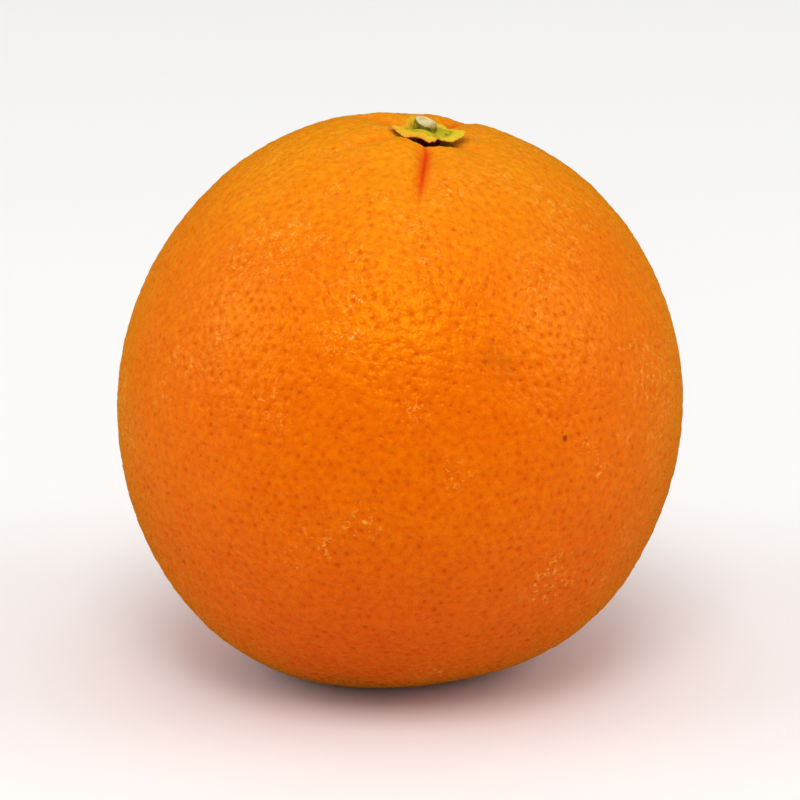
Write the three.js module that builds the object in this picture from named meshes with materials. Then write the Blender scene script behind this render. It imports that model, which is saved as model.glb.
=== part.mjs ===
// A sweet orange with its calyx and a cut stub of stem, standing stem end up.
//
// The fruit is one grown solid: peel and flesh are not parted. It is described by one
// radius for every direction out of its centre: a slightly flattened ball, fuller in a
// few places, with a basin at the stem end, furrows running out of the basin between
// puffy lobes of peel, and a small flat spot underneath where it rests.
// The calyx is the five-lobed button in the basin, and the stub is what is left of the
// stalk after picking, cut at a slant.
//
// Lengths are millimetres and angles are degrees. +Z is up and the flat spot is z = 0.

import * as THREE from "three";

// The ball
const EQUATOR_RADIUS = 39.0;
const POLE_RADIUS = 37.7;
// How far the flat spot lies below the ball's centre, and how softly its rim is rounded
const SEAT_DEPTH = 38.0;
const SEAT_ROUNDING = 0.5;
// The stem end leans away from upright, towards +X
const STEM_LEAN = 5.9;

// Where the fruit is fuller than the ball: polar angle from the top, azimuth from +X
const SWELLS = [
  { place: "left heel", polar: 146, azimuth: 207, rise: 3.1, spread: 25 },
  { place: "right heel", polar: 141, azimuth: 337, rise: 1.9, spread: 18 },
  { place: "back heel", polar: 142, azimuth: 80, rise: 2.0, spread: 24 },
  { place: "left shoulder", polar: 23, azimuth: 132, rise: 2.15, spread: 25 },
  { place: "right shoulder", polar: 39, azimuth: 27, rise: 1.4, spread: 22 },
  { place: "front lobe", polar: 8.6, azimuth: 269, rise: 0.53, spread: 5.7 },
];

// The basin round the stem: a wide hollow, and a steeper pit inside it for the calyx
const BASIN_DEPTH = 2.3;
const BASIN_SPREAD = 8.5;
const PIT_DEPTH = 1.0;
const PIT_FLOOR_RADIUS = 3.4;
const PIT_RIM_RADIUS = 6.2;

// Furrows run out of the pit. The azimuth is about the stem, from +X, and each furrow
// fades out at the angle "ends" from the stem. "bend" is how far its line turns on the
// way, and "swell" is how far the lobes beside it puff.
const FURROWS = [
  { azimuth: 262.5, bend: 4.5, ends: 36, depth: 1.15, swell: 0.35 },
  { azimuth: 211, bend: 0, ends: 26, depth: 0.9, swell: 0.35 },
  { azimuth: 325, bend: 0, ends: 18, depth: 0.6, swell: 0.3 },
  { azimuth: 68, bend: 0, ends: 31, depth: 1.1, swell: 0.3 },
  { azimuth: 140, bend: 0, ends: 24, depth: 0.8, swell: 0.3 },
];
// Angles from the stem: where the lobes are fully puffed, where a fold begins and is full
// deep, and where its line begins and ends its bend
const LOBES_PUFFED = 5;
const FOLD_STARTS = 3;
const FOLD_FULL = 14.5;
const BEND_STARTS = 6;
const BEND_ENDS = 12;
const FURROW_HALF_WIDTH = 1.0;
const FURROW_SHOULDER = 3.2;

// The calyx: a foot on the basin's floor, a disc on the foot, and five free lobes
const CALYX_GAP = 0.45;
const CALYX_FOOT_RADIUS = 1.2;
const CALYX_NECK_RADIUS = 2.1;
const CALYX_NECK = 1.0;
const CALYX_THICKNESS = 0.95;
const CALYX_EDGE = 0.4;
// The edge of the lobes, station by station round the stem: "reach" is how far out it is
// and "rise" how high its upper side stands above the disc
const CALYX_RIM = [
  { place: "right lobe's tip", azimuth: 5, reach: 4.85, rise: 0.25 },
  { place: "right lobe's back", azimuth: 22, reach: 4.1, rise: 0.05 },
  { place: "notch", azimuth: 38, reach: 3.1, rise: -0.1 },
  { place: "back lobe's tip", azimuth: 62, reach: 3.7, rise: 0.25 },
  { place: "notch", azimuth: 95, reach: 2.8, rise: 0.4 },
  { place: "upright lobe", azimuth: 130, reach: 3.4, rise: 1.5 },
  { place: "upright lobe's foot", azimuth: 163, reach: 3.5, rise: 0.7 },
  { place: "notch", azimuth: 171, reach: 3.4, rise: 0.1 },
  { place: "left lobe's tip", azimuth: 184, reach: 5.4, rise: 0.5 },
  { place: "left lobe's edge", azimuth: 198, reach: 4.8, rise: 0.0 },
  { place: "left lobe's corner", azimuth: 219, reach: 4.5, rise: -0.3 },
  { place: "notch", azimuth: 246, reach: 3.2, rise: -0.4 },
  { place: "front lobe's tip", azimuth: 272, reach: 4.1, rise: -0.6 },
  { place: "notch", azimuth: 294, reach: 2.8, rise: -0.3 },
  { place: "right lobe's corner", azimuth: 318, reach: 4.2, rise: -0.55 },
  { place: "right lobe's edge", azimuth: 345, reach: 4.65, rise: -0.05 },
];

// The stub of stem: a slightly tapered round stalk whose top is cut at a slant. It stands
// a little off the calyx's middle, along X.
const STUB_GAP = 0.3;
const STUB_BASE_RADIUS = 1.75;
const STUB_TOP_RADIUS = 1.52;
const STUB_HEIGHT = 0.85;
const STUB_CUT_SLOPE = 18;
const STUB_CUT_AZIMUTH = 318;
const STUB_OFF_CENTRE = -0.6;

// How finely the solids are faceted
const FRUIT_SEGMENTS = 72;
const FRUIT_RINGS = 46;
const CALYX_SEGMENTS = 70;
const STUB_SEGMENTS = 24;

const DEGREE = Math.PI / 180;
const FULL_TURN = 360;

// Unit directions of the stem's own frame: along the stem, and across it
const STEM_UP = new THREE.Vector3(Math.sin(STEM_LEAN * DEGREE), 0, Math.cos(STEM_LEAN * DEGREE));
const STEM_ACROSS = new THREE.Vector3(STEM_UP.z, 0, -STEM_UP.x);
const STEM_SIDE = new THREE.Vector3(0, 1, 0);

function directionAt(polar, azimuth) {
  return new THREE.Vector3().setFromSphericalCoords(1, polar * DEGREE, azimuth * DEGREE + Math.PI / 2)
    .applyAxisAngle(new THREE.Vector3(1, 0, 0), Math.PI / 2);
}

function bell(distance, spread) {
  return Math.exp(-0.5 * (distance / spread) ** 2);
}

// The signed turn from one azimuth to another, between -180 and 180
function turnBetween(from, to) {
  return THREE.MathUtils.euclideanModulo(to - from + FULL_TURN / 2, FULL_TURN) - FULL_TURN / 2;
}

// The smaller of two lengths, with the crease between them rounded off
function softMin(first, second, rounding) {
  const share = THREE.MathUtils.clamp(0.5 + 0.5 * (second - first) / rounding, 0, 1);
  return THREE.MathUtils.lerp(second, first, share) - rounding * share * (1 - share);
}

// ---- The fruit ----

const swellAxes = SWELLS.map((swell) => directionAt(swell.polar, swell.azimuth));

function ballRadius(direction) {
  const across = Math.hypot(direction.x, direction.y) / EQUATOR_RADIUS;
  const up = direction.z / POLE_RADIUS;
  return 1 / Math.hypot(across, up);
}

function swellRise(direction) {
  let rise = 0;
  SWELLS.forEach((swell, index) => {
    rise += swell.rise * bell(direction.angleTo(swellAxes[index]) / DEGREE, swell.spread);
  });
  return rise;
}

// One furrow's push on the peel, at an angle and azimuth about the stem: a sharp fold
// down its middle, and a gentle rise where the lobes beside it puff up
function furrowPush(furrow, fromStem, azimuth) {
  const line = furrow.azimuth + furrow.bend * THREE.MathUtils.smoothstep(fromStem, BEND_STARTS, BEND_ENDS);
  const turn = turnBetween(line, azimuth);
  if (Math.abs(turn) > FULL_TURN / 4) {
    return 0;
  }
  const sideways = Math.abs(EQUATOR_RADIUS * Math.sin(fromStem * DEGREE) * Math.sin(turn * DEGREE));
  const fades = 1 - THREE.MathUtils.smoothstep(fromStem, furrow.ends * 0.4, furrow.ends);
  const fold = furrow.depth * Math.exp(-sideways / FURROW_HALF_WIDTH);
  const lobes = furrow.swell * bell(sideways - FURROW_SHOULDER, FURROW_SHOULDER / 2);
  const folding = THREE.MathUtils.smoothstep(fromStem, FOLD_STARTS, FOLD_FULL);
  const puffing = THREE.MathUtils.smoothstep(fromStem, 0, LOBES_PUFFED);
  return fades * (puffing * lobes - folding * fold);
}

function basinDepth(fromStem) {
  const outFromStem = EQUATOR_RADIUS * Math.sin(fromStem * DEGREE);
  const inPit = fromStem < FULL_TURN / 4
    ? 1 - THREE.MathUtils.smoothstep(outFromStem, PIT_FLOOR_RADIUS, PIT_RIM_RADIUS) : 0;
  return BASIN_DEPTH * bell(fromStem, BASIN_SPREAD) + PIT_DEPTH * inPit;
}

// The fruit's surface, as a distance from its centre
function fruitRadius(direction) {
  const fromStem = direction.angleTo(STEM_UP) / DEGREE;
  const azimuth = Math.atan2(direction.dot(STEM_SIDE), direction.dot(STEM_ACROSS)) / DEGREE;
  let radius = ballRadius(direction) + swellRise(direction) - basinDepth(fromStem);
  for (const furrow of FURROWS) {
    radius += furrowPush(furrow, fromStem, azimuth);
  }
  if (direction.z < 0) {
    radius = softMin(radius, -SEAT_DEPTH / direction.z, SEAT_ROUNDING);
  }
  return radius;
}

// Rings of facets crowd towards the stem end, where the shape is finest
function crowdTowardsStem(polar) {
  return polar - 0.25 * Math.sin(polar) - 0.2 * Math.sin(2 * polar);
}

function makeFruit() {
  const geometry = new THREE.SphereGeometry(1, FRUIT_SEGMENTS, FRUIT_RINGS);
  geometry.rotateX(Math.PI / 2);
  const positions = geometry.attributes.position;
  const vertex = new THREE.Vector3();
  for (let i = 0; i < positions.count; i++) {
    vertex.fromBufferAttribute(positions, i);
    const polar = crowdTowardsStem(Math.acos(THREE.MathUtils.clamp(vertex.z, -1, 1)));
    const azimuth = Math.atan2(vertex.y, vertex.x);
    const direction = new THREE.Vector3()
      .addScaledVector(STEM_ACROSS, Math.sin(polar) * Math.cos(azimuth))
      .addScaledVector(STEM_SIDE, Math.sin(polar) * Math.sin(azimuth))
      .addScaledVector(STEM_UP, Math.cos(polar));
    direction.multiplyScalar(fruitRadius(direction));
    positions.setXYZ(i, direction.x, direction.y, direction.z + SEAT_DEPTH);
  }
  return geometry;
}

// ---- The calyx, in the stem's own frame: +Z along the stem, from the fruit's centre ----

// The edge at an azimuth, eased between the stations before and after it
function calyxEdge(azimuth) {
  const first = CALYX_RIM[0].azimuth;
  const turn = first + THREE.MathUtils.euclideanModulo(azimuth - first, FULL_TURN);
  const passed = CALYX_RIM.filter((station) => station.azimuth <= turn).length;
  const before = CALYX_RIM[passed - 1];
  const after = CALYX_RIM[passed % CALYX_RIM.length];
  const span = THREE.MathUtils.euclideanModulo(after.azimuth - before.azimuth, FULL_TURN);
  const share = THREE.MathUtils.smoothstep(turn - before.azimuth, 0, span);
  return {
    reach: THREE.MathUtils.lerp(before.reach, after.reach, share),
    rise: THREE.MathUtils.lerp(before.rise, after.rise, share),
  };
}

const basinFloor = fruitRadius(STEM_UP);
const calyxUnderside = basinFloor + CALYX_GAP + CALYX_NECK;
const calyxTop = calyxUnderside + CALYX_THICKNESS;

function makeCalyx() {
  // The section runs from the foot's middle out along the underside and back over the top.
  // Beyond the neck, x is how far out towards the lobes' tips, from 0 to 1.
  const neck = CALYX_NECK_RADIUS;
  const outward = [0.08, 0.3, 0.55, 0.8, 1];
  const section = [new THREE.Vector2(0, basinFloor + CALYX_GAP)];
  section.push(new THREE.Vector2(CALYX_FOOT_RADIUS, basinFloor + CALYX_GAP));
  for (const share of outward) {
    section.push(new THREE.Vector2(neck + share, calyxUnderside));
  }
  for (const share of [...outward].reverse()) {
    const thickness = THREE.MathUtils.lerp(CALYX_THICKNESS, CALYX_EDGE, share);
    section.push(new THREE.Vector2(neck + share, calyxUnderside + thickness));
  }
  section.push(new THREE.Vector2(neck / 2, calyxTop));
  section.push(new THREE.Vector2(0, calyxTop));

  const geometry = new THREE.LatheGeometry(section, CALYX_SEGMENTS);
  geometry.rotateX(Math.PI / 2);
  const positions = geometry.attributes.position;
  const vertex = new THREE.Vector3();
  for (let i = 0; i < positions.count; i++) {
    vertex.fromBufferAttribute(positions, i);
    const radius = Math.hypot(vertex.x, vertex.y);
    const share = Math.max(radius - neck, 0);
    if (share > 0) {
      const edge = calyxEdge(Math.atan2(vertex.y, vertex.x) / DEGREE);
      const spread = neck + share * (edge.reach - neck);
      vertex.x *= spread / radius;
      vertex.y *= spread / radius;
      vertex.z += (edge.rise + CALYX_THICKNESS - CALYX_EDGE) * share ** 2;
    }
    positions.setXYZ(i, vertex.x, vertex.y, vertex.z);
  }
  return geometry;
}

// ---- The stub of stem, in the same frame ----

function makeStub() {
  const geometry = new THREE.CylinderGeometry(
    STUB_TOP_RADIUS, STUB_BASE_RADIUS, STUB_HEIGHT, STUB_SEGMENTS);
  geometry.rotateX(Math.PI / 2);
  geometry.translate(0, 0, calyxTop + STUB_GAP + STUB_HEIGHT / 2);
  const positions = geometry.attributes.position;
  const downhill = STUB_CUT_AZIMUTH * DEGREE;
  for (let i = 0; i < positions.count; i++) {
    if (positions.getZ(i) > calyxTop + STUB_GAP + STUB_HEIGHT / 2) {
      const along = positions.getX(i) * Math.cos(downhill) + positions.getY(i) * Math.sin(downhill);
      positions.setZ(i, positions.getZ(i) - along * Math.tan(STUB_CUT_SLOPE * DEGREE));
    }
  }
  geometry.translate(STUB_OFF_CENTRE, 0, 0);
  return geometry;
}

// ---- The whole orange ----

function addPiece(group, name, geometry, finish) {
  const piece = new THREE.Mesh(geometry, new THREE.MeshStandardMaterial(finish));
  piece.name = name;
  group.add(piece);
}

const orange = new THREE.Group();
addPiece(orange, "fruit", makeFruit(), { color: 0xf08208, roughness: 0.45, metalness: 0 });

const stemEnd = new THREE.Group();
stemEnd.position.set(0, 0, SEAT_DEPTH);
stemEnd.rotation.set(0, STEM_LEAN * DEGREE, 0);
addPiece(stemEnd, "calyx", makeCalyx(), { color: 0xc8c82a, roughness: 0.65, metalness: 0 });
addPiece(stemEnd, "stem_stub", makeStub(), { color: 0xc6c08e, roughness: 0.8, metalness: 0 });
orange.add(stemEnd);

// The origin is on the resting plane, under the middle of the whole orange
orange.updateMatrixWorld(true);
const middle = new THREE.Box3().setFromObject(orange, true).getCenter(new THREE.Vector3());
orange.position.set(-middle.x, -middle.y, 0);

export default orange;
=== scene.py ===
"""A sweet orange with its calyx and its cut stub of stem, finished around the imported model.

Metres, +Z up, standing stem end up on its flat spot at z = 0.
"""

import math

import bpy
import numpy as np
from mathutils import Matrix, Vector
from mathutils.geometry import delaunay_2d_cdt
from mathutils.kdtree import KDTree


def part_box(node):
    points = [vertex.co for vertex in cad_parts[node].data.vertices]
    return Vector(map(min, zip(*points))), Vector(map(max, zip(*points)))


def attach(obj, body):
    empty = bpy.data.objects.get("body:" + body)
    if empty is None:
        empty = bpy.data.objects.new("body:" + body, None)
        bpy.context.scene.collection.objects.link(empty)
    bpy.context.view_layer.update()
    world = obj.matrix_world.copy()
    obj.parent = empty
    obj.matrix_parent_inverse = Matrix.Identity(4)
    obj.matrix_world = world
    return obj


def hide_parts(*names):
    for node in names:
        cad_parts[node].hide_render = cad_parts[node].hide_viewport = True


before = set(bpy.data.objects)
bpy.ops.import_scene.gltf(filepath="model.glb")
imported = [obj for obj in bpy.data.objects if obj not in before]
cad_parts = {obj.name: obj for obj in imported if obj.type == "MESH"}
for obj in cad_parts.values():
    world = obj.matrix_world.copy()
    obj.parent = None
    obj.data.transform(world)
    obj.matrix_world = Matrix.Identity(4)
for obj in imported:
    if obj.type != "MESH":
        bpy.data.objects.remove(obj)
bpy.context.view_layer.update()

# ---------------------------------------------------------------- The studio
# A plain pale table top with a wide soft light over it and pale walls all round,
# looked at from a little above. None of this belongs to the fruit.

MM = 0.001
FRUIT_CENTRE_HEIGHT = 38.0 * MM
CAMERA_ELEVATION = 17.5
CAMERA_DISTANCE = 0.5
SENSOR_WIDTH = 36.0
FRUIT_SHARE_OF_FRAME = 0.705
TABLE_SIZE = 6.0

scene = bpy.context.scene
scene.view_settings.view_transform = "Standard"
scene.view_settings.look = "None"

fruit_low, fruit_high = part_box("fruit")
fruit_width = fruit_high.x - fruit_low.x


def stand_back(azimuth, elevation, distance, target):
    """The point at a distance from a target; azimuth 0 is in front of it, along -Y."""
    a, e = math.radians(azimuth), math.radians(elevation)
    back = Vector((math.sin(a) * math.cos(e), -math.cos(a) * math.cos(e), math.sin(e)))
    return target + back * distance


def aim(thing, target):
    thing.rotation_euler = (target - thing.location).to_track_quat("-Z", "Y").to_euler()


fruit_middle = Vector((0.0, 0.0, FRUIT_CENTRE_HEIGHT))

camera = bpy.data.objects.new("camera", bpy.data.cameras.new("camera"))
camera.data.sensor_width = SENSOR_WIDTH
camera.data.lens = SENSOR_WIDTH * FRUIT_SHARE_OF_FRAME * CAMERA_DISTANCE / fruit_width
camera.location = stand_back(0, CAMERA_ELEVATION, CAMERA_DISTANCE, fruit_middle)
aim(camera, fruit_middle)
scene.collection.objects.link(camera)
scene.camera = camera

LIGHT_DISTANCE = 2.5
SOFT_LIGHTS = [
    {"name": "overhead_light", "azimuth": 10, "elevation": 80, "size": 1.8, "strength": 0.17},
    {"name": "front_light", "azimuth": -3, "elevation": 57, "size": 1.1, "strength": 0.29},
    {"name": "left_light", "azimuth": -80, "elevation": 32, "size": 1.4, "strength": 0.20},
    {"name": "right_light", "azimuth": 80, "elevation": 32, "size": 1.4, "strength": 0.20},
]
for light in SOFT_LIGHTS:
    lamp = bpy.data.objects.new(light["name"], bpy.data.lights.new(light["name"], "AREA"))
    lamp.data.size = light["size"]
    lamp.data.energy = light["strength"] * (math.pi * LIGHT_DISTANCE) ** 2
    lamp.location = stand_back(light["azimuth"], light["elevation"], LIGHT_DISTANCE, fruit_middle)
    aim(lamp, fruit_middle)
    scene.collection.objects.link(lamp)

WALL_COLOUR = (1.0, 0.99, 0.97, 1.0)
WALL_STRENGTH = 0.57
walls = bpy.data.worlds.new("pale_walls")
walls.use_nodes = True
walls.node_tree.nodes["Background"].inputs["Color"].default_value = WALL_COLOUR
walls.node_tree.nodes["Background"].inputs["Strength"].default_value = WALL_STRENGTH
walls.cycles_visibility.glossy = False
scene.world = walls


def add_node(tree, kind, feeds=None, **settings):
    """Adds a node, sets its settings, and feeds its inputs with numbers, colours or sockets."""
    made = tree.nodes.new(kind)
    for setting, value in settings.items():
        setattr(made, setting, value)
    for socket, value in (feeds or {}).items():
        if isinstance(value, bpy.types.NodeSocket):
            tree.links.new(value, made.inputs[socket])
        else:
            made.inputs[socket].default_value = value
    return made


def new_material(name):
    """A material with an empty node tree; returns the material and its node tree."""
    material = bpy.data.materials.new(name)
    material.use_nodes = True
    material.node_tree.nodes.clear()
    return material, material.node_tree


def finish_material(tree, **feeds):
    """Adds the material's one shader, fed as named, and joins it to the output."""
    named = {socket.replace("_", " "): value for socket, value in feeds.items()}
    shader = add_node(tree, "ShaderNodeBsdfPrincipled", named)
    add_node(tree, "ShaderNodeOutputMaterial", {"Surface": shader.outputs["BSDF"]})


def new_piece(name, points, faces, material):
    """A smooth-shaded mesh object at the origin, from points in metres and lists of corners."""
    mesh = bpy.data.meshes.new(name)
    mesh.from_pydata([tuple(point) for point in points], [], [tuple(face) for face in faces])
    mesh.shade_smooth()
    mesh.materials.append(material)
    piece = bpy.data.objects.new(name, mesh)
    scene.collection.objects.link(piece)
    return piece


TABLE_DARKER = (0.93, 0.93, 0.925, 1.0)
TABLE_LIGHTER = (0.95, 0.95, 0.945, 1.0)
table_material, table_tree = new_material("pale_table")
table_grain = add_node(table_tree, "ShaderNodeTexNoise", {"Scale": 40.0, "Detail": 3.0})
table_colour = add_node(table_tree, "ShaderNodeMix",
                        {"Factor": table_grain.outputs["Fac"], "A": TABLE_DARKER, "B": TABLE_LIGHTER},
                        data_type="RGBA")
finish_material(table_tree, Base_Color=table_colour.outputs["Result"], Roughness=0.7)
half = TABLE_SIZE / 2
table_corners = [(-half, -half, 0), (half, -half, 0), (half, half, 0), (-half, half, 0)]
table = new_piece("table_top", table_corners, [(0, 1, 2, 3)], table_material)
table.visible_glossy = False

# ---------------------------------------------------------------- The peel
# The whole fruit is one grown body: a slightly flattened ball with heels and shoulders,
# a stem basin, five furrows and a small flat resting spot. Its skin is leathery peel
# pitted with thousands of oil glands.

BALL = {"equator": 39.0 * MM, "pole": 37.7 * MM}
STEM_LEAN = 5.9
SEAT_ROUNDING = 0.5 * MM
SWELLS = [
    {"place": "left heel", "polar": 146, "azimuth": 207, "rise": 3.1 * MM, "spread": 25},
    {"place": "right heel", "polar": 141, "azimuth": 337, "rise": 1.9 * MM, "spread": 18},
    {"place": "back heel", "polar": 142, "azimuth": 80, "rise": 2.0 * MM, "spread": 24},
    {"place": "left shoulder", "polar": 23, "azimuth": 132, "rise": 2.15 * MM, "spread": 25},
    {"place": "right shoulder", "polar": 39, "azimuth": 27, "rise": 1.4 * MM, "spread": 22},
    {"place": "front lobe", "polar": 8.6, "azimuth": 269, "rise": 0.53 * MM, "spread": 5.7},
]
BASIN = {"depth": 2.3 * MM, "spread": 8.5}
PIT = {"depth": 1.0 * MM, "floor": 3.4 * MM, "rim": 6.2 * MM}
# Round the stem: the azimuth of each furrow, how far it bends as it leaves the basin and how
# many degrees from the stem it ends, its fold's depth, the lobes beside it and how red and dark it is
# painted, partly painted shade
FURROWS = [
    {"azimuth": 262.5, "bend": 4.5, "ends": 36, "depth": 1.15 * MM, "swell": 0.35 * MM, "redness_and_shade": 1.0},
    {"azimuth": 211, "bend": 0, "ends": 26, "depth": 0.9 * MM, "swell": 0.35 * MM, "redness_and_shade": 0.3},
    {"azimuth": 325, "bend": 0, "ends": 18, "depth": 0.6 * MM, "swell": 0.3 * MM, "redness_and_shade": 0.3},
    {"azimuth": 68, "bend": 0, "ends": 31, "depth": 1.1 * MM, "swell": 0.3 * MM, "redness_and_shade": 0.5},
    {"azimuth": 140, "bend": 0, "ends": 24, "depth": 0.8 * MM, "swell": 0.3 * MM, "redness_and_shade": 0.35},
]
# Degrees from the stem between which the folds deepen, the lobes puff up and the bend is made
FURROW_FOLD_STARTS = (3, 14.5)
FURROW_LOBES_START = (0, 5)
FURROW_BENDS = (6, 12)
FURROW_HALF_WIDTH = 1.0 * MM
FURROW_SHOULDER = 3.2 * MM

stem_lean = math.radians(STEM_LEAN)
STEM_UP = np.array([math.sin(stem_lean), 0.0, math.cos(stem_lean)])
STEM_ACROSS = np.array([math.cos(stem_lean), 0.0, -math.sin(stem_lean)])
STEM_SIDE = np.array([0.0, 1.0, 0.0])


def direction_at(polar, azimuth):
    """The unit direction out of the fruit's centre at these angles from the top and from +X."""
    polar, azimuth = math.radians(polar), math.radians(azimuth)
    return np.array([math.sin(polar) * math.cos(azimuth), math.sin(polar) * math.sin(azimuth),
                     math.cos(polar)])


def angle_from(directions, axis):
    return np.degrees(np.arccos(np.clip(directions @ axis, -1, 1)))


def bell(distance, spread):
    return np.exp(-0.5 * (distance / spread) ** 2)


def smooth_step(value, low, high):
    share = np.clip((value - low) / (high - low), 0, 1)
    return share * share * (3 - 2 * share)


def soft_min(first, second, rounding):
    share = np.clip(0.5 + 0.5 * (second - first) / rounding, 0, 1)
    return second + (first - second) * share - rounding * share * (1 - share)


def about_stem(directions):
    """Angle from the stem, azimuth about it, and the distance out from its axis."""
    from_stem = angle_from(directions, STEM_UP)
    azimuth = np.degrees(np.arctan2(directions @ STEM_SIDE, directions @ STEM_ACROSS))
    out = np.where(from_stem < 90, BALL["equator"] * np.sin(np.radians(from_stem)), BALL["equator"])
    return from_stem, azimuth, out


def along_furrow(furrow, directions):
    """Signed distance to one side of a furrow's line, and how strong its fold and its lobes are."""
    from_stem, azimuth, out = about_stem(directions)
    line = furrow["azimuth"] + furrow["bend"] * smooth_step(from_stem, *FURROW_BENDS)
    turn = (azimuth - line + 180) % 360 - 180
    sideways = out * np.sin(np.radians(turn))
    fading = 1 - smooth_step(from_stem, furrow["ends"] * 0.4, furrow["ends"])
    fading = np.where(np.abs(turn) < 90, fading, 0)
    return (sideways, fading * smooth_step(from_stem, *FURROW_FOLD_STARTS),
            fading * smooth_step(from_stem, *FURROW_LOBES_START))


def fruit_radius(directions):
    """The distance from the fruit's centre to its surface, in each direction."""
    across = np.hypot(directions[:, 0], directions[:, 1]) / BALL["equator"]
    radius = 1 / np.hypot(across, directions[:, 2] / BALL["pole"])
    for swell in SWELLS:
        away = angle_from(directions, direction_at(swell["polar"], swell["azimuth"]))
        radius += swell["rise"] * bell(away, swell["spread"])
    from_stem, _, out = about_stem(directions)
    radius -= BASIN["depth"] * bell(from_stem, BASIN["spread"])
    radius -= PIT["depth"] * (1 - smooth_step(out, PIT["floor"], PIT["rim"]))
    for furrow in FURROWS:
        sideways, folding, puffing = along_furrow(furrow, directions)
        fold = furrow["depth"] * np.exp(-np.abs(sideways) / FURROW_HALF_WIDTH)
        lobes = furrow["swell"] * bell(np.abs(sideways) - FURROW_SHOULDER, FURROW_SHOULDER / 2)
        radius += puffing * lobes - folding * fold
    downward = np.maximum(-directions[:, 2], 1e-6)
    return soft_min(radius, FRUIT_CENTRE_HEIGHT / downward, SEAT_ROUNDING)


def surface_at(directions):
    """Points of the surface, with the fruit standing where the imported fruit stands."""
    points = directions * fruit_radius(directions)[:, None]
    return points + np.array(fruit_centre)


def even_directions(count):
    """Directions spread evenly over the whole ball, on a sunflower spiral."""
    turn = np.arange(count) * math.pi * (3 - math.sqrt(5))
    height = 1 - (2 * np.arange(count) + 1) / count
    flat = np.sqrt(1 - height ** 2)
    return np.stack([flat * np.cos(turn), flat * np.sin(turn), height], axis=1)


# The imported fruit's middle says how far its centre stands to the side of the origin
fruit_centre = (0.0, 0.0, FRUIT_CENTRE_HEIGHT)
probe = surface_at(even_directions(40000))
probe_middle = (probe.max(axis=0) + probe.min(axis=0)) / 2
fruit_centre = ((fruit_low.x + fruit_high.x) / 2 - probe_middle[0],
                (fruit_low.y + fruit_high.y) / 2 - probe_middle[1], FRUIT_CENTRE_HEIGHT)


def group_socket(tree, name, kind, default=None, going_out=False):
    """Adds a named socket to a node tree's outside, and returns its identifier."""
    way = "OUTPUT" if going_out else "INPUT"
    socket = tree.interface.new_socket(name, in_out=way, socket_type=kind)
    if default is not None:
        socket.default_value = default
    return socket.identifier


def evaluate_tree(piece, tree, values):
    """Runs a geometry tree over a piece with these inputs; returns the plain mesh it makes."""
    modifier = piece.modifiers.new(tree.name, "NODES")
    modifier.node_group = tree
    for identifier, value in values.items():
        modifier[identifier] = value
    bpy.context.view_layer.update()
    shaped = piece.evaluated_get(bpy.context.evaluated_depsgraph_get())
    mesh = bpy.data.meshes.new_from_object(shaped)
    piece.modifiers.remove(modifier)
    return mesh


def mesh_positions(mesh):
    positions = np.empty(len(mesh.vertices) * 3, np.float32)
    mesh.vertices.foreach_get("co", positions)
    return positions.reshape(-1, 3).astype(float)


def calc(tree, operation, *values, clamp=False):
    """One sum on numbers or sockets; returns its socket."""
    made = add_node(tree, "ShaderNodeMath", dict(enumerate(values)), operation=operation)
    made.use_clamp = clamp
    return made.outputs[0]


GLAND_SPACING = 1.2 * MM
GLAND_SEED = 11
SPOTS_TRIED = 12.0


def build_gland_scatter():
    """A geometry tree that scatters the oil glands over a ball, none nearer than the spacing.

    Many spots are tried in each square of one spacing, and those that stand too near are dropped.
    """
    tree = bpy.data.node_groups.new("scatter_oil_glands", "GeometryNodeTree")
    sockets = {
        "radius": group_socket(tree, "Ball Radius", "NodeSocketFloat", BALL["equator"]),
        "spacing": group_socket(tree, "Gland Spacing", "NodeSocketFloat", GLAND_SPACING),
        "seed": group_socket(tree, "Seed", "NodeSocketInt", GLAND_SEED),
        "skin": group_socket(tree, "Skin", "NodeSocketMaterial"),
    }
    group_socket(tree, "Glands", "NodeSocketGeometry", going_out=True)
    given = add_node(tree, "NodeGroupInput").outputs
    ball = add_node(tree, "GeometryNodeMeshIcoSphere",
                    {"Radius": given["Ball Radius"], "Subdivisions": 6})
    dense = calc(tree, "DIVIDE", calc(tree, "DIVIDE", SPOTS_TRIED, given["Gland Spacing"]),
                 given["Gland Spacing"])
    spots = add_node(tree, "GeometryNodeDistributePointsOnFaces",
                     {"Mesh": ball.outputs["Mesh"], "Distance Min": given["Gland Spacing"],
                      "Density Max": dense, "Seed": given["Seed"]}, distribute_method="POISSON")
    corners = add_node(tree, "GeometryNodePointsToVertices", {"Points": spots.outputs["Points"]})
    real = add_node(tree, "GeometryNodeRealizeInstances", {"Geometry": corners.outputs["Mesh"]})
    skinned = add_node(tree, "GeometryNodeSetMaterial",
                       {"Geometry": real.outputs["Geometry"], "Material": given["Skin"]})
    add_node(tree, "NodeGroupOutput", {"Glands": skinned.outputs["Geometry"]})
    return tree, sockets


# The large and the small oil glands: their radius, the corners of the ring round each, how
# deep they sink and how far their hollow reaches
LARGE_GLAND_SHARE = 0.4
LARGE_GLAND = {"radius": 0.50 * MM, "corners": 8, "depth": 1.0, "reach": 0.85 * MM}
SMALL_GLAND = {"radius": 0.36 * MM, "corners": 6, "depth": 0.55, "reach": 0.6 * MM}
GLAND_SIZE_SPREAD = (0.8, 1.15)
GLAND_DEPTH_SPREAD = (0.55, 1.15)
GLAND_SHARE_OF_ROOM = 0.44
FURROW_CLEARANCE = 0.5 * MM
CALYX_COVER = 5.0

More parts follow.
